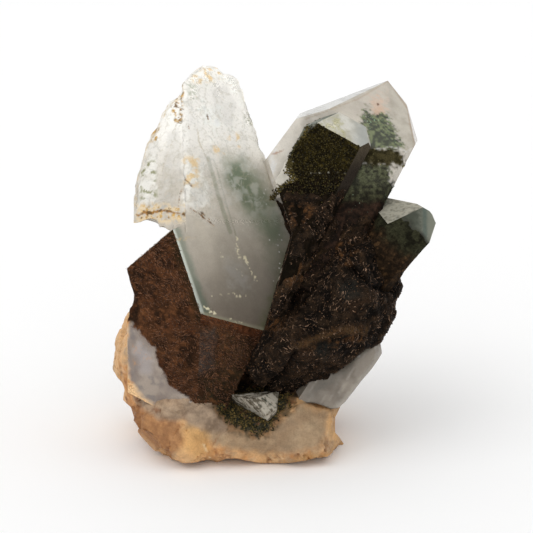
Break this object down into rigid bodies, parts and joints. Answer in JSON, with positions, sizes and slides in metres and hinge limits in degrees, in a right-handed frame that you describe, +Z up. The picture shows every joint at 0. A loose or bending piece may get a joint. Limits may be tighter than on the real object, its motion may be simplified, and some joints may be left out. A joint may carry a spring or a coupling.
{
  "type": "mineral specimen",
  "caption": "Natural quartz crystal cluster with chlorite inclusions and coatings, standing on its vein rock, for display on a shelf or table.",
  "frame": {"origin": "centre of the bottom of the whole piece's bounding box, on the surface that it stands on", "axes": "+Z up, -Y out of the face seen in the picture, +X to that face's right"},
  "size_m": [0.0532, 0.039, 0.0615],
  "materials": {
    "crystal_cluster": "clear to smoky natural quartz with brown and green chlorite coatings and inclusions",
    "matrix_rock": "rough cream and orange iron-stained vein rock",
    "pocket_crystal": "milky natural quartz with green scratches"
  },
  "bodies": {
    "root": {"crystal_cluster": "crystal_cluster", "matrix_rock": "matrix_rock", "pocket_crystal": "pocket_crystal"}
  },
  "joints": []
}
